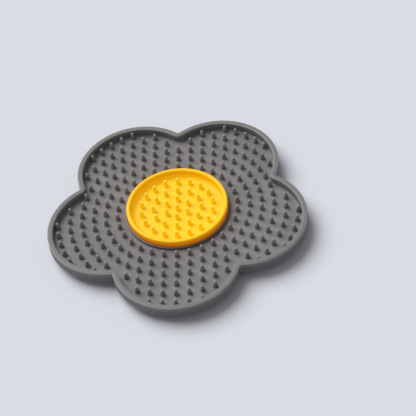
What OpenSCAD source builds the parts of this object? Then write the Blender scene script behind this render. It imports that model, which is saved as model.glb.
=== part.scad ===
// Flower-shaped silicone lick mat: a grey tray with five petals and rings of cone nubs,
// a round yellow dish that lifts out of a collar at its centre, and suction cups under it.
// Millimetres, +Z up. The origin is at the flower's centre, on the surface that the cups stand on.
// One petal points along -Y.

/* [Flower] */
// Radius from the centre to the tip of each petal
petal_tip_r = 100; // [95:0.5:112]
// Radius of a petal's round edge
petal_r = 47.75; // [45:0.25:52]
// Radius of the fillet in each notch between two petals
notch_fillet_r = 1.5; // [1:0.25:4]

/* [Tray] */
// Thickness of the tray floor
floor_t = 2; // [1.8:0.1:4]
// Depth of the tray, from the top of the rim to the floor
tray_depth = 6.2; // [6:0.1:9]
// Width of the rim
rim_w = 4.2; // [3:0.1:5.5]
// Radius of the rounded edges along the top of the rim
rim_round_r = 1; // [0.4:0.1:1.4]
// Radius of the rounded edge under the tray
base_round_r = 0.9; // [0.3:0.1:1.4]
// Height of the band below the mould's parting step
band_h = 1.8; // [1.5:0.1:3]
// Width of the parting step in the outer wall
step_w = 0.25; // [0.1:0.05:0.5]
// Radius of the fillet between a wall and the floor it stands on
foot_round_r = 0.25; // [0.2:0.05:0.6]

/* [Nubs] */
// Distance from one ring of nubs to the next
ring_pitch = 9.1; // [8.5:0.1:12]
// Height of a nub
nub_h = 5.8; // [3:0.1:5.9]
// Radius of a nub at its foot
nub_foot_r = 1.9; // [1.4:0.1:2.4]
// Radius of a nub's round tip
nub_tip_r = 1; // [0.5:0.05:1.2]

/* [Dish] */
// Outer radius of the centre dish
dish_r = 38.3; // [32:0.1:39]
// Height of the dish, from the tray floor to the top of its rim
dish_h = 7.2; // [7.1:0.1:12]
// Thickness of the dish's floor
dish_floor_t = 1.2; // [1:0.1:1.5]
// Width of the dish's rim
dish_rim_w = 3; // [2.4:0.1:5]
// Height of the collar that holds the dish
collar_h = 2; // [1:0.1:4]
// Width of the collar
collar_w = 1.2; // [0.8:0.1:2]
// Gap between the dish and the collar
collar_gap = 0.25; // [0.2:0.05:0.5]

/* [Suction cups] */
// Height of the tray's underside above the surface that the cups stand on
stand_h = 6; // [5.8:0.1:9]
// Radius of a cup's lip
cup_r = 9.5; // [7:0.1:11]
// Thickness of a cup's lip
lip_t = 0.5; // [0.3:0.05:0.8]
// Width of the flat ring that a lip stands on
lip_land_w = 0.4; // [0.2:0.05:0.8]
// Height of the point of a cup's hollow above its lip
cup_hollow_h = 2.5; // [1.5:0.1:2.6]
// Radius of a cup's neck, where it meets the shoulder
neck_r = 4.4; // [3.8:0.1:5.5]
// Radius of the stem that goes into the mat
stem_r = 2.6; // [2:0.1:2.9]
// Radius of the bead that keeps the stem in its socket
bead_r = 3.3; // [3:0.05:3.35]
// Height of the bead
bead_h = 0.7; // [0.5:0.05:0.8]
// How far a cup gives when the mat is pressed down
press_travel = 1.2; // [0.8:0.05:1.3]
// Radius of the boss round a socket
boss_r = 4.6; // [4.2:0.1:5.5]
// Height of the boss below the tray
boss_h = 1.6; // [1.5:0.1:1.8]
// Thickness of the lip at the mouth of a socket
mouth_t = 0.8; // [0.6:0.05:0.9]
// Radius of the wide part of a socket
socket_r = 3.5; // [3.45:0.05:3.8]
// Distance from the centre to the ring of cups round the middle one, as a share of the petal tips' radius
inner_cup_share = 0.255; // [0.24:0.005:0.27]
// The same share for the cups on the lines of the notches
notch_cup_share = 0.485; // [0.47:0.005:0.51]
// The same share for the cup in the middle of each petal
mid_cup_share = 0.5625; // [0.55:0.0025:0.58]
// The same share for the cup at the tip of each petal
tip_cup_share = 0.836; // [0.82:0.002:0.85]
// The same share for the two cups at the sides of each petal
side_cup_share = 0.71; // [0.7:0.002:0.72]

/* [Hidden] */
petals = 5;
rings = 40;
arc_steps = 4;
// Angle of the first petal
petal_a = 270;
// Half the angle between two petals
half_a = 180 / petals;
// Angle between a petal's line and its side cups
side_cup_a = 23.8;
// Room left for moving and seated pieces
press_clear = 0.1;
bead_clear = 0.05;
stem_clear = 0.15;
nub_gap = 1;
// How far pieces that are fused or cut run past each other
overrun = 0.4;
seam_sink = 0.03;
seam_lap_a = 1.5;
lip_edge = 0.1;
boss_fillet = 0.4;
collar_edge = 0.3;

// Height of each level above the surface that the mat stands on
under_z = stand_h;
floor_z = under_z + floor_t;
rim_z = floor_z + tray_depth;
boss_z = under_z - boss_h;
shoulder_z = boss_z - press_travel - press_clear;
ledge_z = boss_z + mouth_t;
bead_z = ledge_z + bead_clear;
roof_z = bead_z + bead_h + press_travel + bead_clear;

// The flower's outline: petal arcs joined by fillet arcs, each about its own centre
petal_d = petal_tip_r - petal_r;
notch_d = petal_d * cos(half_a) + sqrt(pow(petal_r + notch_fillet_r, 2) - pow(petal_d * sin(half_a), 2));
petal_arc_a = atan2(notch_d * sin(half_a), notch_d * cos(half_a) - petal_d);
notch_arc_a = petal_arc_a - half_a;

// How fast a nub narrows, and where nubs may stand
nub_lean = (nub_foot_r - nub_tip_r) / (nub_h - nub_tip_r);
mat_nub_reach = petal_r - rim_w - foot_round_r - nub_foot_r;
collar_in_r = dish_r + collar_gap;
collar_out_r = collar_in_r + collar_w;
mat_ring_first = ceil((collar_out_r + nub_foot_r + nub_gap) / ring_pitch);
dish_ring_last = floor((dish_r - dish_rim_w - foot_round_r - nub_foot_r - nub_gap) / ring_pitch);

function polar(r, a) = [r * cos(a), r * sin(a)];
function arc(c, r, a0, a1) = [for (i = [0 : arc_steps]) c + polar(r, a0 + (a1 - a0) * i / arc_steps)];
function petal_axis(i) = petal_a + 360 * i / petals;
function petal_centre(i) = polar(petal_d, petal_axis(i));

// A ring holds six nubs more than the one inside it, and every ring starts on the same line
function ring(k) = k == 0 ? [[0, 0]] : [for (j = [0 : 6 * k - 1]) polar(ring_pitch * k, petal_a + 60 * j / k)];
function in_a_petal(p) = min([for (i = [0 : petals - 1]) norm(p - petal_centre(i))]) <= mat_nub_reach;

mat_nubs = [for (k = [mat_ring_first : rings]) for (p = ring(k)) if (in_a_petal(p)) p];
dish_nubs = [for (k = [0 : dish_ring_last]) each ring(k)];

cup_places = [
    [0, 0],
    for (i = [0 : petals - 1]) polar(petal_tip_r * inner_cup_share, petal_axis(i)),
    for (i = [0 : petals - 1]) polar(petal_tip_r * notch_cup_share, petal_axis(i) + half_a),
    for (i = [0 : petals - 1]) polar(petal_tip_r * mid_cup_share, petal_axis(i)),
    for (i = [0 : petals - 1]) for (side = [-1, 0, 1])
        polar(petal_tip_r * (side == 0 ? tip_cup_share : side_cup_share), petal_axis(i) + side * side_cup_a)
];

function cup_name(i) = str("suction_cup_", i < 9 ? "0" : "", i + 1);

$fn = 48;

// Section of the rim, as distance in from the flower's edge and height.
// A sunk section lies inside the same outline.
function rim_section(sink) = concat(
    [[rim_w + foot_round_r - sink, under_z + sink]],
    arc([base_round_r, under_z + base_round_r], base_round_r - sink, 270, 180),
    [[sink, under_z + band_h - sink], [step_w + sink, under_z + band_h + step_w - sink]],
    arc([step_w + rim_round_r, rim_z - rim_round_r], rim_round_r - sink, 180, 90),
    arc([rim_w - rim_round_r, rim_z - rim_round_r], rim_round_r - sink, 90, 0),
    arc([rim_w + foot_round_r - sink, floor_z + foot_round_r - sink], foot_round_r, 180, 270)
);

// A section swept to both sides of an axis, about the origin
module swept(points, axis_a, half_sweep_a) {
    rotate([0, 0, axis_a - half_sweep_a]) rotate_extrude(angle = 2 * half_sweep_a) polygon(points);
}

module petal_rim() {
    translate(polar(petal_d, petal_a))
        swept([for (p = rim_section(0)) [petal_r - p[0], p[1]]], petal_a, petal_arc_a);
}

// The rim in a notch runs a little way into both petals, sunk so that it ends inside their rims
module notch_rim() {
    translate(polar(notch_d, petal_a + half_a))
        swept(
            [for (p = rim_section(seam_sink)) [notch_fillet_r + p[0], p[1]]],
            petal_a + half_a + 180,
            notch_arc_a + seam_lap_a
        );
}

module round_the_flower() {
    for (i = [0 : petals - 1]) rotate([0, 0, 360 * i / petals]) children();
}

module floor_plate() {
    translate([0, 0, under_z]) linear_extrude(floor_t) {
        circle(petal_d);
        for (i = [0 : petals - 1]) translate(petal_centre(i)) circle(petal_r - rim_w / 2);
    }
}

module nub(foot_z) {
    tip_z = foot_z + nub_h - nub_tip_r;
    translate([0, 0, foot_z - overrun])
        cylinder(h = tip_z - foot_z + overrun, r1 = nub_foot_r + overrun * nub_lean, r2 = nub_tip_r);
    translate([0, 0, tip_z]) sphere(nub_tip_r);
}

module collar() {
    rotate_extrude() polygon([
        [collar_in_r, floor_z - overrun],
        [collar_out_r, floor_z - overrun],
        [collar_out_r, floor_z + collar_h - collar_edge],
        [collar_out_r - collar_edge, floor_z + collar_h],
        [collar_in_r, floor_z + collar_h]
    ]);
}

module boss() {
    rotate_extrude() polygon([
        [0, boss_z],
        [boss_r - boss_fillet, boss_z],
        [boss_r, boss_z + boss_fillet],
        [boss_r, under_z + overrun],
        [0, under_z + overrun]
    ]);
}

module socket() {
    rotate_extrude() polygon([
        [0, boss_z - overrun],
        [stem_r + stem_clear, boss_z - overrun],
        [stem_r + stem_clear, ledge_z],
        [socket_r, ledge_z],
        [socket_r, roof_z],
        [0, roof_z]
    ]);
}

module tray() {
    union() {
        floor_plate();
        round_the_flower() petal_rim();
    }
    round_the_flower() notch_rim();
}

module mat_body() {
    color([0.47, 0.46, 0.46]) difference() {
        union() {
            union() {
                tray();
                collar();
                for (p = cup_places) translate(p) boss();
            }
            for (p = mat_nubs) translate(p) nub(floor_z);
        }
        for (p = cup_places) translate(p) socket();
    }
}

module centre_dish() {
    in_r = dish_r - dish_rim_w;
    top_z = floor_z + dish_h;
    well_z = floor_z + dish_floor_t;
    color([0.98, 0.77, 0.1]) union() {
        rotate_extrude() polygon(concat(
            [[0, floor_z]],
            arc([dish_r - foot_round_r, floor_z + foot_round_r], foot_round_r, 270, 360),
            arc([dish_r - rim_round_r, top_z - rim_round_r], rim_round_r, 0, 90),
            arc([in_r + rim_round_r, top_z - rim_round_r], rim_round_r, 90, 180),
            arc([in_r - foot_round_r, well_z + foot_round_r], foot_round_r, 360, 270),
            [[0, well_z]]
        ));
        for (p = dish_nubs) translate(p) nub(well_z);
    }
}

module suction_cup(i) {
    land_out_r = cup_r - lip_edge;
    color([0.53, 0.51, 0.5]) translate(cup_places[i]) rotate_extrude() polygon([
        [0, cup_hollow_h],
        [land_out_r - lip_land_w, 0],
        [land_out_r, 0],
        [cup_r, lip_edge],
        [cup_r, lip_t - lip_edge],
        [land_out_r, lip_t],
        [neck_r, shoulder_z - lip_edge],
        [neck_r - lip_edge, shoulder_z],
        [stem_r, shoulder_z],
        [stem_r, bead_z],
        [bead_r, bead_z],
        [bead_r, bead_z + bead_h / 2],
        [stem_r, bead_z + bead_h],
        [0, bead_z + bead_h]
    ]);
}

mat_body();
centre_dish();
for (i = [0 : len(cup_places) - 1])
    suction_cup(i);
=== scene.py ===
import math

import bmesh
import bpy
from mathutils import Matrix, Vector


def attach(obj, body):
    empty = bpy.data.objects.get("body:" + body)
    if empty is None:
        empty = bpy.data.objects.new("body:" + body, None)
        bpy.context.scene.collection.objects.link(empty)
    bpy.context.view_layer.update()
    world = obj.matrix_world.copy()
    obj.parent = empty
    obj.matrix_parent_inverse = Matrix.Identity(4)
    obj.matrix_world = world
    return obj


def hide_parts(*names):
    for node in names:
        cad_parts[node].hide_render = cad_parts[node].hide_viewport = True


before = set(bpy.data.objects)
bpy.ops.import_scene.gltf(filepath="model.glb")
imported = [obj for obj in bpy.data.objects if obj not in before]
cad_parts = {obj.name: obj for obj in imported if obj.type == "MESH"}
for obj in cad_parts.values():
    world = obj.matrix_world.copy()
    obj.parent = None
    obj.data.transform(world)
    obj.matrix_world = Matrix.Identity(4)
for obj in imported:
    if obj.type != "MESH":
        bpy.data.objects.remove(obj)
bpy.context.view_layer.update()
mm = 0.001  # the settings give lengths in millimetres and angles in degrees
meshing = {
    "roundSteps": 5,
    "sharpAngle": 40,
    "poleGap": 1e-4,  # points of a turned shape closer than this become one
    "seamGap": 1e-3,  # and those of the swept rim
}


# small tools for meshes

def polar(radius, angle, z=0.0):
    turn = math.radians(angle)
    return Vector((radius * math.cos(turn), radius * math.sin(turn), z))


def sectionInto(bm, corners, place, closed=False):
    # a chain of edges through (x, z, rounding) corners
    verts = [bm.verts.new(place(x, z)) for x, z, _ in corners]
    pairs = list(zip(verts, verts[1:])) + ([(verts[-1], verts[0])] if closed else [])
    for a, b in pairs:
        bm.edges.new((a, b))
    for vert, corner in zip(verts, corners):
        if corner[2]:
            bmesh.ops.bevel(bm, geom=[vert], offset=corner[2], offset_type="OFFSET",
                            segments=meshing["roundSteps"], profile=0.5,
                            affect="VERTICES", material=-1)
    return bm.verts[:] + bm.edges[:]


def lathe(corners, steps, closed=False):
    # a section turned right round the upright axis
    bm = bmesh.new()
    section = sectionInto(bm, corners, lambda x, z: Vector((x, 0, z)), closed)
    bmesh.ops.spin(bm, geom=section, cent=(0, 0, 0), axis=(0, 0, 1), angle=math.tau, steps=steps,
                   use_merge=True)
    bmesh.ops.remove_doubles(bm, verts=bm.verts, dist=meshing["poleGap"])
    bmesh.ops.recalc_face_normals(bm, faces=bm.faces)
    return bm


def copiesInto(bm, source, places):
    # the same small shape at every place, in one mesh
    stamp = bpy.data.meshes.new("stamp")
    source.to_mesh(stamp)
    source.free()
    for place in places:
        stamp.transform(Matrix.Translation(place))
        bm.from_mesh(stamp)
        stamp.transform(Matrix.Translation(-place))
    bpy.data.meshes.remove(stamp)


def openEdges(bm, z):
    # the open edges at one height
    near = meshing["seamGap"]
    return [e for e in bm.edges if e.is_boundary and all(abs(v.co.z - z) < near for v in e.verts)]


def intoScene(bm, name, material):
    mesh = bpy.data.meshes.new(name)
    bm.to_mesh(mesh)
    bm.free()
    mesh.materials.append(material)
    made = bpy.data.objects.new(name, mesh)
    bpy.context.scene.collection.objects.link(made)
    return made


def makePiece(bm, name, body, node, material):
    bmesh.ops.scale(bm, vec=(mm, mm, mm), verts=bm.verts)
    piece = intoScene(bm, name, material)
    piece.data.polygons.foreach_set("use_smooth", [True] * len(piece.data.polygons))
    piece.data.set_sharp_from_angle(angle=math.radians(meshing["sharpAngle"]))
    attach(piece, body)
    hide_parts(node)


# shader maths, written as plain expressions

class Signal:
    def __init__(self, board, socket):
        self.board = board
        self.socket = socket

    def join(self, operation, first, second):
        return self.board.node("ShaderNodeMath", {"operation": operation}, {0: first, 1: second})

    def __add__(self, other):
        return self.join("ADD", self, other)

    def __radd__(self, other):
        return self.join("ADD", other, self)

    def __sub__(self, other):
        return self.join("SUBTRACT", self, other)

    def __rsub__(self, other):
        return self.join("SUBTRACT", other, self)

    def __mul__(self, other):
        return self.join("MULTIPLY", self, other)

    def __rmul__(self, other):
        return self.join("MULTIPLY", other, self)

    def __pow__(self, other):
        return self.join("POWER", self, other)

    def __rpow__(self, other):
        return self.join("POWER", other, self)


class Board:
    # the nodes of one material, or of the world
    def __init__(self, owner):
        owner.use_nodes = True
        self.owner = owner
        self.tree = owner.node_tree
        self.tree.nodes.clear()

    def node(self, kind, settings=None, values=None, output=0):
        made = self.tree.nodes.new(kind)
        for key, value in (settings or {}).items():
            setattr(made, key, value)
        for key, value in (values or {}).items():
            if isinstance(value, Signal):
                self.tree.links.new(value.socket, made.inputs[key])
            else:
                made.inputs[key].default_value = value
        return Signal(self, made.outputs[output]) if made.outputs else None

    def coordinate(self, kind):
        return self.node("ShaderNodeTexCoord", output=kind)

    def part(self, vector, axis):
        return self.node("ShaderNodeSeparateXYZ", None, {0: vector}, output=axis)

    def height(self):
        return self.part(self.coordinate("Object"), "Z")

    def lift(self):
        # 1 on a face that looks straight up, 0 on a wall and -1 on a face that looks down
        return self.part(self.coordinate("Normal"), "Z")

    def radius(self):
        # distance from the upright line through the flower's centre
        place = self.coordinate("Object")
        x, y = self.part(place, "X"), self.part(place, "Y")
        return (x * x + y * y) ** 0.5

    def ease(self, value, low, high):
        # 0 at low and 1 at high, with a soft start and end
        return self.node("ShaderNodeMapRange", {"interpolation_type": "SMOOTHSTEP"},
                         {"Value": value, "From Min": low, "From Max": high})

    def past(self, value, level, before, after):
        # eases in round one of the object's own measures
        return self.ease(value, (level + before) * mm, (level + after) * mm)

    def band(self, value, low, high, soft):
        return (self.ease(value, low - soft, low + soft)
                * (1 - self.ease(value, high - soft, high + soft)))

    def noise(self, scale, detail=2.0, roughness=0.5):
        look = {"Scale": scale, "Detail": detail, "Roughness": roughness}
        return self.node("ShaderNodeTexNoise", None, {"Vector": self.coordinate("Object"), **look})

    def patches(self, scale, detail, roughness, low, high):
        # a noise turned into soft patches
        return self.ease(self.noise(scale, detail, roughness), low, high)

    def grain(self, fine, fineShare, coarse, coarseShare):
        return self.noise(*fine) * fineShare + self.noise(*coarse) * coarseShare

    def mix(self, factor, first, second):
        # on a colour mix, sockets 6 and 7 are the two colours and output 2 is the result
        return self.node("ShaderNodeMix", {"data_type": "RGBA"},
                         {0: factor, 6: first, 7: second}, output=2)

    def bump(self, height, strength, distance):
        return self.node("ShaderNodeBump", None,
                         {"Height": height, "Strength": strength, "Distance": distance * mm})

    def finish(self, values):
        shader = self.node("ShaderNodeBsdfPrincipled", None, values)
        self.node("ShaderNodeOutputMaterial", None, {"Surface": shader})
        return self.owner


def srgb(red, green, blue):
    # display values from 0 to 255, as the linear colour that a socket takes
    linear = [((c / 255 + 0.055) / 1.055) ** 2.4 for c in (red, green, blue)]
    return (*linear, 1.0)


# the flower's outline and the places that follow from it

flower = {
    "petals": 5,
    "firstAngle": 270.0,
    "tipRadius": 100.0,
    "petalRadius": 47.75,
    "notchRadius": 1.5,
    "petalSteps": 56,
    "notchSteps": 14,
}
levels = {"under": 6.0, "floor": 8.0, "rim": 14.2, "dishFloor": 9.2, "dishRim": 15.2}
nubs = {
    "pitch": 9.1,
    "perRing": 6,  # ring k holds k times as many
    "matRings": range(5, 11),
    "dishRings": range(0, 4),
    "reach": 41.4,  # from a petal's centre to its outermost nub
    # radius and height, from the foot in the floor up to the tip
    "section": [(2.12, -0.3), (1.98, 0.1), (1.17, 4.7), (1.06, 5.2), (0.7, 5.63), (0, 5.8)],
    "steps": 12,
}
dish = {
    "radius": 38.3,
    "rimWidth": 3.0,
    "topRound": 1.0,
    "footRound": 0.5,
    "wellRound": 2.0,
    "lean": 0.3,  # of the inner wall
    "wellInset": 3.0,  # from the inner wall to the flat floor
    "footInset": 1.2,
    "steps": 144,
}
dishInner = dish["radius"] - dish["rimWidth"]

# how far out the petals and the notches have their centres, and the angles that they sweep
half = 180 / flower["petals"]
petalD = flower["tipRadius"] - flower["petalRadius"]
tangentR = flower["petalRadius"] + flower["notchRadius"]
notchD = petalD * math.cos(math.radians(half)) + math.sqrt(
    tangentR ** 2 - (petalD * math.sin(math.radians(half))) ** 2)
petalSweep = math.degrees(math.atan2(notchD * math.sin(math.radians(half)),
                                     notchD * math.cos(math.radians(half)) - petalD))
notchSweep = petalSweep - half
petalAngles = [flower["firstAngle"] + 2 * half * i for i in range(flower["petals"])]


def ringOf(k):
    if k == 0:
        return [Vector()]
    count = nubs["perRing"] * k
    return [polar(nubs["pitch"] * k, flower["firstAngle"] + 360 * j / count) for j in range(count)]


def inPetal(point):
    return min((point - polar(petalD, a)).length for a in petalAngles) <= nubs["reach"]


def nubsInto(bm, places, z):
    shape = lathe([(x, height, 0) for x, height in nubs["section"]], nubs["steps"])
    copiesInto(bm, shape, [place + Vector((0, 0, z)) for place in places])


# the materials: clouds, specks and smears are a noise's scale, detail and roughness, and the range
# that becomes the mask. A Height or Radius is the mm before and after the measure it belongs to,
# and a Lift is how far a face looks up, from 0 on a wall to 1 on the level

siliconeGrain = {"fine": (5200, 2.0), "fineShare": 0.6, "coarse": (900, 3.0), "coarseShare": 0.4}
grainDepth = 0.14

greySettings = {
    "base": srgb(133, 131, 131),
    "deep": srgb(120, 118, 119),
    "rim": srgb(126, 124, 125),
    # painted shade at the nubs' feet and painted light towards their tops
    "paintedStalkShade": srgb(122, 119, 119),
    "paintedStalkLight": srgb(160, 156, 152),
    # painted shade: walls get a darker grey where little light reaches them
    "sides": srgb(101, 100, 103),
    "dusty": srgb(160, 157, 155),
    # wear together with a painted highlight along the rim's edges, and the painted highlight on the
    # nubs' tips
    "edge": srgb(180, 175, 171),
    "clouds": (22, 3.0, 0.55, 0.35, 0.68),
    "specks": (2600, 2.0, 0.5, 0.62, 0.74),
    "smears": (90, 4.0, 0.6, 0.5, 0.72),
    "dust": {"smears": 0.18, "specks": 0.3},
    "wallShadeLift": (0.03, 0.14),
    "stalkShadeLift": (0.3, 0.8),
    "stalkShadeHeight": (0.8, 4.4),
    "rimHeight": (-1.0, -0.5),
    "tipHighlightHeight": (4.7, 5.4),
    "tipHighlightLift": (0.1, 0.6),
    "rimWearHighlightLift": {"low": 0.4, "high": 0.9, "soft": 0.06},
    "rimWearHighlightShare": 0.7,
    "roughness": 0.5,
    "unevenness": {"clouds": 0.08, "specks": 0.05, "smears": 0.05},
    "specular": 0.42,
    "bump": 0.3,
}


def greySilicone():
    b = Board(bpy.data.materials.new("greySilicone"))
    s = greySettings
    z, lift = b.height(), b.lift()
    level = (lift * lift) ** 0.5
    clouds, specks, smears = (b.patches(*s[key]) for key in ("clouds", "specks", "smears"))
    colour = b.mix(clouds, s["deep"], s["base"])
    colour = b.mix(smears * s["dust"]["smears"] + specks * s["dust"]["specks"], colour, s["dusty"])
    rimZone = b.past(z, levels["rim"], *s["rimHeight"])
    colour = b.mix(rimZone, colour, s["rim"])
    # painted light and shade on the nubs: darker at the foot, lighter towards the top
    stalkShading = b.mix(b.past(z, levels["floor"], *s["stalkShadeHeight"]), s["paintedStalkShade"], s["paintedStalkLight"])
    colour = b.mix(1 - b.ease(level, *s["stalkShadeLift"]), colour, stalkShading)
    # painted shade on every wall
    colour = b.mix(1 - b.ease(level, *s["wallShadeLift"]), colour, s["sides"])
    # painted highlight: the nubs' tips are lighter where light falls on them
    paintedTipLight = b.past(z, levels["floor"], *s["tipHighlightHeight"]) * (1 - rimZone)
    # along the rim's edges: wear together with a painted highlight
    wearAndHighlightMask = b.band(lift, **s["rimWearHighlightLift"]) * rimZone * s["rimWearHighlightShare"]
    wearAndHighlightMask = wearAndHighlightMask + paintedTipLight * b.ease(lift, *s["tipHighlightLift"])
    colour = b.mix(wearAndHighlightMask, colour, s["edge"])
    uneven = s["unevenness"]
    return b.finish({
        "Base Color": colour,
        "Roughness": (s["roughness"] + clouds * uneven["clouds"] - specks * uneven["specks"]
                      - smears * uneven["smears"]),
        "Specular IOR Level": s["specular"],
        "Normal": b.bump(b.grain(**siliconeGrain), s["bump"], grainDepth),
    })


yellowSettings = {
    "base": (0.96, 0.63, 0.0, 1.0),
    "deep": (0.96, 0.59, 0.0, 1.0),
    # painted shade: the colours of steep faces are tuned to how they look in shade
    "nubSideShade": (0.84, 0.59, 0.0, 1.0),
    "inside": (1.0, 0.55, 0.0, 1.0),
    # painted shade in the well's corner round the dish floor, lifted by its painted glow
    "corner": (0.7, 0.39, 0.0, 1.0),
    "outerWallShade": (0.86, 0.43, 0.0, 1.0),
    "outsideFootShade": (0.6, 0.26, 0.0, 1.0),
    "rim": (1.0, 0.56, 0.0, 1.0),
    # painted highlight: the pale colour of the nubs' lit tips
    "tip": (0.86, 0.64, 0.09, 1.0),
    # painted light: glows that stand in for the light soaking through the silicone
    "floorGlow": (0.15, 0.085, 0.0, 1.0),
    "nubGlow": (0.28, 0.158, 0.0, 1.0),
    "tipGlow": (0.38, 0.25, 0.02, 1.0),
    "insideGlow": (0.08, 0.05, 0.0, 1.0),
    "cornerGlow": (0.4, 0.22, 0.0, 1.0),
    "outsideGlow": (0.36, 0.09, 0.0, 1.0),
    "footGlow": (0.14, 0.01, 0.0, 1.0),
    "rimGlow": (0.26, 0.12, 0.0, 1.0),
    "clouds": (26, 3.0, 0.55, 0.35, 0.68),
    "specks": (2400, 2.0, 0.5, 0.62, 0.75),
    "speckShare": 0.05,
    "outerRadius": (-2.0, -0.8),
    "wallRadius": (-2.5, -0.5),
    "wellRadius": (-4.0, -1.8),
    "wellLift": (-0.5, 0.0),
    "cornerShadeHeight": (0.8, 2.6),
    "rimHeight": (-1.5, -0.4),
    "sideShadeLift": (0.35, 0.97),
    "tipHighlightHeight": (4.5, 5.3),
    "tipRadius": (-4.3, -3.3),
    "tipHighlightLift": (0.1, 0.5),
    "tipHighlightShare": 0.8,
    "roughness": 0.46,
    "unevenness": {"clouds": 0.08, "specks": 0.06},
    "specular": 0.36,
    "bump": 0.28,
}


def yellowSilicone():
    # the light that soaks through the thin yellow silicone is painted as a glow: painted light on
    # the floor, nubs, walls, corner, rim and tips
    b = Board(bpy.data.materials.new("yellowSilicone"))
    s = yellowSettings
    z, lift, away = b.height(), b.lift(), b.radius()
    level = (lift * lift) ** 0.5
    outer = b.past(away, dish["radius"], *s["outerRadius"])
    wall = b.past(away, dishInner, *s["wallRadius"])
    # painted shade: the outer wall darkens towards its foot
    footShadeFade = b.ease(z, levels["floor"] * mm, (levels["dishRim"] - dish["topRound"]) * mm)
    rimTop = wall * b.past(z, levels["dishRim"], *s["rimHeight"])
    well = b.past(away, dishInner, *s["wellRadius"]) * (1 - outer) * b.ease(lift, *s["wellLift"])
    # painted shade and painted glow in the corner round the dish floor
    corner = well * (1 - b.past(z, levels["dishFloor"], *s["cornerShadeHeight"]))
    # steep faces take painted shade colours and a painted glow
    sideShadeAndGlow = 1 - b.ease(level, *s["sideShadeLift"])
    # painted highlight and painted glow on the nubs' tips
    paintedTipLight = (b.past(z, levels["dishFloor"], *s["tipHighlightHeight"])
            * (1 - b.past(away, dishInner, *s["tipRadius"])))
    clouds, specks = b.patches(*s["clouds"]), b.patches(*s["specks"])

    innerSide = b.mix(wall, s["nubSideShade"], s["inside"])
    outerSide = b.mix(footShadeFade, s["outsideFootShade"], s["outerWallShade"])
    colour = b.mix(clouds, s["deep"], s["base"])
    colour = b.mix(sideShadeAndGlow, colour, b.mix(outer, innerSide, outerSide))
    colour = b.mix(corner, colour, s["corner"])
    colour = b.mix(rimTop, colour, s["rim"])
    paintedTipHighlight = paintedTipLight * b.ease(lift, *s["tipHighlightLift"]) * s["tipHighlightShare"]
    colour = b.mix(paintedTipHighlight + specks * s["speckShare"], colour, s["tip"])

    # the painted glow, placed by the same masks
    innerSide = b.mix(wall, s["nubGlow"], s["insideGlow"])
    outerSide = b.mix(footShadeFade, s["footGlow"], s["outsideGlow"])
    glow = b.mix(sideShadeAndGlow, s["floorGlow"], b.mix(outer, innerSide, outerSide))
    glow = b.mix(corner, glow, s["cornerGlow"])
    glow = b.mix(rimTop, glow, s["rimGlow"])
    glow = b.mix(paintedTipLight, glow, s["tipGlow"])
    uneven = s["unevenness"]
    return b.finish({
        "Base Color": colour,
        "Emission Color": glow,
        "Emission Strength": 1.0,
        "Roughness": s["roughness"] + clouds * uneven["clouds"] - specks * uneven["specks"],
        "Specular IOR Level": s["specular"],
        "Normal": b.bump(b.grain(**siliconeGrain), s["bump"], grainDepth),
    })


cupSettings = {
    "base": srgb(128, 126, 125),
    "deep": srgb(118, 116, 115),
    # painted highlight: the lip's edge is paler
    "lip": srgb(176, 164, 149),
    "clouds": (90, 2.0, 0.5, 0.35, 0.66),
    "lipHighlightHeight": (0.06, 0.22),
    "lipHighlightShare": 0.6,
    "roughness": 0.31,
    "unevenness": 0.06,
    "specular": 0.5,
    "grain": (3600, 2.0),
    "grainDepth": 0.1,
    "bump": 0.12,
}


def cupSilicone():
    b = Board(bpy.data.materials.new("cupSilicone"))
    s = cupSettings
    clouds = b.patches(*s["clouds"])
    # painted highlight along the lip's edge
    lip = 1 - b.past(b.height(), 0.0, *s["lipHighlightHeight"])
    colour = b.mix(lip * s["lipHighlightShare"], b.mix(clouds, s["deep"], s["base"]), s["lip"])
    return b.finish({
        "Base Color": colour,
        "Roughness": s["roughness"] + clouds * s["unevenness"],
        "Specular IOR Level": s["specular"],
        "Normal": b.bump(b.noise(*s["grain"]), s["bump"], s["grainDepth"]),
    })


grey, yellow, cupGrey = greySilicone(), yellowSilicone(), cupSilicone()
print("materials made")


# the tray: a rim section swept round the flower, closed by a floor and by an underside with sockets

tray = {
    "rimWidth": 4.2,
    "topRound": 0.75,
    "baseRound": 0.9,
    "bandHeight": 1.8,
    "bandRounds": (0.08, 0.12),
    "step": 0.25,
    "footRound": 0.8,
    "margin": 0.8,
}
boss = {
    "radius": 4.6,
    "bottom": 4.4,
    "mouthRadius": 2.75,
    "mouthTop": 5.2,
    "socketRadius": 3.5,
    "roof": 7.2,
    "flare": 0.3,
    "rootRound": 0.25,
    "edgeRound": 0.35,
    "mouthRound": 0.12,
    "steps": 32,
}
collar = {
    "inner": 38.55,
    "outer": 39.75,
    "height": 2.0,
    "root": 0.3,
    "rounds": (0.35, 0.2),
    "steps": 144,
}
cupRings = {
    "inner": 25.5,
    "notch": 48.5,
    "mid": 56.25,
    "tip": 83.6,
    "side": 71.0,
    "sideAngle": 23.8,
}


def cupPlaces():
    c = cupRings
    places = [Vector()]
    places += [polar(c["inner"], a) for a in petalAngles]
    places += [polar(c["notch"], a + half) for a in petalAngles]
    places += [polar(c["mid"], a) for a in petalAngles]
    for a in petalAngles:
        left, right = a - c["sideAngle"], a + c["sideAngle"]
        places += [polar(c["side"], left), polar(c["tip"], a), polar(c["side"], right)]
    return places


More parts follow.
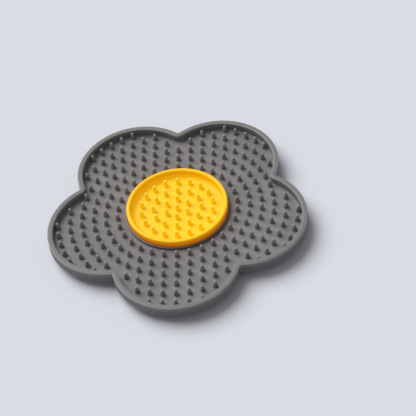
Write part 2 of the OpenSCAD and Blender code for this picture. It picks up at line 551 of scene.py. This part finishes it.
def traySection():
    t = tray
    inside = t["rimWidth"] + t["footRound"] + t["margin"]
    band = levels["under"] + t["bandHeight"]
    return [
        (inside, levels["under"], 0),
        (0, levels["under"], t["baseRound"]),
        (0, band, t["bandRounds"][0]),
        (t["step"], band + t["step"], t["bandRounds"][1]),
        (t["step"], levels["rim"], t["topRound"]),
        (t["rimWidth"], levels["rim"], t["topRound"]),
        (t["rimWidth"], levels["floor"], t["footRound"]),
        (inside, levels["floor"], 0),
    ]


def sweptRim():
    bm = bmesh.new()
    startAngle = petalAngles[0] - petalSweep
    centre = polar(petalD, petalAngles[0])
    front = sectionInto(bm, traySection(),
                        lambda x, z: centre + polar(flower["petalRadius"] - x, startAngle, z))
    for a in petalAngles:
        petal = bmesh.ops.spin(bm, geom=front, cent=polar(petalD, a), axis=(0, 0, 1),
                               angle=math.radians(2 * petalSweep), steps=flower["petalSteps"])
        notch = bmesh.ops.spin(bm, geom=petal["geom_last"], cent=polar(notchD, a + half),
                               axis=(0, 0, 1), angle=-math.radians(2 * notchSweep),
                               steps=flower["notchSteps"])
        front = notch["geom_last"]
    bmesh.ops.remove_doubles(bm, verts=bm.verts, dist=meshing["seamGap"])
    return bm


def bossShape():
    b = boss
    return lathe([
        (b["radius"] + b["flare"], levels["under"], 0),
        (b["radius"], levels["under"], b["rootRound"]),
        (b["radius"], b["bottom"], b["edgeRound"]),
        (b["mouthRadius"], b["bottom"], b["mouthRound"]),
        (b["mouthRadius"], b["mouthTop"], 0),
        (b["socketRadius"], b["mouthTop"], 0),
        (b["socketRadius"], b["roof"], 0),
        (0, b["roof"], 0),
    ], b["steps"])


def collarShape():
    c = collar
    foot, top = levels["floor"] - c["root"], levels["floor"] + c["height"]
    return lathe([
        (c["inner"], foot, 0),
        (c["outer"], foot, 0),
        (c["outer"], top, c["rounds"][0]),
        (c["inner"], top, c["rounds"][1]),
    ], c["steps"], closed=True)


def trayMesh():
    bm = sweptRim()
    bmesh.ops.triangle_fill(bm, edges=openEdges(bm, levels["floor"]), use_beauty=True)
    copiesInto(bm, bossShape(), cupPlaces())
    bmesh.ops.triangle_fill(bm, edges=openEdges(bm, levels["under"]), use_beauty=True)
    bmesh.ops.recalc_face_normals(bm, faces=bm.faces)
    copiesInto(bm, collarShape(), [Vector()])
    places = [p for k in nubs["matRings"] for p in ringOf(k) if inPetal(p)]
    nubsInto(bm, places, levels["floor"])
    print("tray:", len(places), "nubs,", len(bm.faces), "faces")
    return bm


makePiece(trayMesh(), "petalTray", "mat", "mat_body", grey)


# the dish: a turned bowl with its own nubs

def dishMesh():
    d = dish
    floor, well, top = levels["floor"], levels["dishFloor"], levels["dishRim"]
    bm = lathe([
        (0, floor, 0),
        (d["radius"] - d["footInset"], floor, 0),
        (d["radius"], floor, d["footRound"]),
        (d["radius"], top, d["topRound"]),
        (dishInner, top, d["topRound"]),
        (dishInner - d["lean"], well, d["wellRound"]),
        (dishInner - d["wellInset"], well, 0),
        (0, well, 0),
    ], d["steps"])
    places = [p for k in nubs["dishRings"] for p in ringOf(k)]
    nubsInto(bm, places, well)
    print("dish:", len(places), "nubs,", len(bm.faces), "faces")
    return bm


makePiece(dishMesh(), "nubDish", "dish", "centre_dish", yellow)


# the suction cups: a thin funnel on a stem, with the bead that holds it in its socket

cup = {
    "radius": 9.5,
    "lip": 0.5,
    "land": 0.5,  # the flat ring that touches the floor
    "hollow": 2.5,
    "hollowTurn": (3.4, 1.55, 1.2),  # where the funnel's inside bends: x, z and rounding
    "neck": 4.4,
    "shoulder": 3.1,
    "stem": 2.6,
    "bead": 3.3,
    "beadBottom": 5.25,
    "beadEdge": 5.7,
    "beadTop": 5.95,
    "lipRounds": (0.1, 0.15, 0.2),
    "neckRound": 0.45,
    "stemRound": 0.3,
    "beadRounds": (0.1, 0.2),
    "steps": 48,
}


def cupMesh(place):
    c = cup
    bm = lathe([
        (0, c["hollow"], 0),
        c["hollowTurn"],
        (c["radius"] - c["land"], 0, c["lipRounds"][0]),
        (c["radius"], 0, c["lipRounds"][1]),
        (c["radius"], c["lip"], c["lipRounds"][2]),
        (c["neck"], c["shoulder"], c["neckRound"]),
        (c["stem"], c["shoulder"], c["stemRound"]),
        (c["stem"], c["beadBottom"], 0),
        (c["bead"], c["beadBottom"], c["beadRounds"][0]),
        (c["bead"], c["beadEdge"], c["beadRounds"][1]),
        (c["stem"], c["beadTop"], 0),
        (0, c["beadTop"], 0),
    ], c["steps"])
    bmesh.ops.translate(bm, vec=place, verts=bm.verts)
    return bm


for number, place in enumerate(cupPlaces(), 1):
    makePiece(cupMesh(place), f"gripCup{number:02d}", f"cup_{number:02d}",
              f"suction_cup_{number:02d}", cupGrey)
print("cups:", len(cupPlaces()))


# floor, light and camera

studio = {
    "floorReach": 12000.0,  # from the middle to an edge
    "floorColour": srgb(229, 231, 239),
    "floorRoughness": 0.9,
    "floorSpecular": 0.1,
    "backdrop": srgb(219, 220, 228),
    "ambient": 0.33,
    "keyPower": 2.62,
    "keyAngle": 49.4,
    "keyFrom": (-1.6, 1.35, 2.5),  # only its direction counts
}
camera = {
    "elevation": 46.31,
    "roll": -8.45,
    "turn": 5.85,
    "aim": (23.52, -5.63, 14.2),
    "distance": 938.4,
    "focalPixels": 1258.3,
    "imagePixels": 416,
    "sensor": 36.0,
}

paper = Board(bpy.data.materials.new("palePaper")).finish({
    "Base Color": studio["floorColour"],
    "Roughness": studio["floorRoughness"],
    "Specular IOR Level": studio["floorSpecular"],
})
bm = bmesh.new()
bmesh.ops.create_grid(bm, x_segments=1, y_segments=1, size=studio["floorReach"] * mm)
intoScene(bm, "studioFloor", paper)

# the camera sees the backdrop's own colour, and a dimmer grey lights the object from all round. It
# has no metal or glass that would mirror the backdrop
world = bpy.data.worlds.new("studioWorld")
bpy.context.scene.world = world
sky = Board(world)
seen = sky.node("ShaderNodeBackground", None, {"Color": studio["backdrop"]})
lighting = sky.node("ShaderNodeBackground", None, {"Strength": studio["ambient"]})
cameraRay = sky.node("ShaderNodeLightPath", output="Is Camera Ray")
sky.node("ShaderNodeOutputWorld", None,
         {"Surface": sky.node("ShaderNodeMixShader", None, {0: cameraRay, 1: lighting, 2: seen})})

# one broad soft lamp, the same all over the floor
keyData = bpy.data.lights.new("keyLight", "SUN")
keyData.angle = math.radians(studio["keyAngle"])
keyData.energy = studio["keyPower"]
keyLight = bpy.data.objects.new("keyLight", keyData)
bpy.context.scene.collection.objects.link(keyLight)
keyPlace = Vector(studio["keyFrom"])
keyAim = (-keyPlace).to_track_quat("-Z", "Y").to_matrix().to_4x4()
keyLight.matrix_world = Matrix.Translation(keyPlace) @ keyAim

# the photograph's viewing angle, fitted to the flower's outline and its nubs
elevation, roll, turn = (math.radians(camera[key]) for key in ("elevation", "roll", "turn"))
forward = Vector((0, math.cos(elevation), -math.sin(elevation)))
right = Vector((1, 0, 0))
upward = right.cross(forward)
spin = Matrix.Rotation(turn, 3, "Z")
across = spin @ (right * math.cos(roll) + upward * math.sin(roll))
up = spin @ (upward * math.cos(roll) - right * math.sin(roll))
back = spin @ -forward
eye = (Vector(camera["aim"]) + back * camera["distance"]) * mm
lens = bpy.data.cameras.new("photoCamera")
lens.sensor_width = camera["sensor"]
lens.lens = camera["focalPixels"] / camera["imagePixels"] * camera["sensor"]
photoCamera = bpy.data.objects.new("photoCamera", lens)
bpy.context.scene.collection.objects.link(photoCamera)
facing = Matrix((across, up, back)).transposed().to_4x4()
photoCamera.matrix_world = Matrix.Translation(eye) @ facing
bpy.context.scene.camera = photoCamera
bpy.context.scene.view_settings.view_transform = "Standard"
print("studio ready")
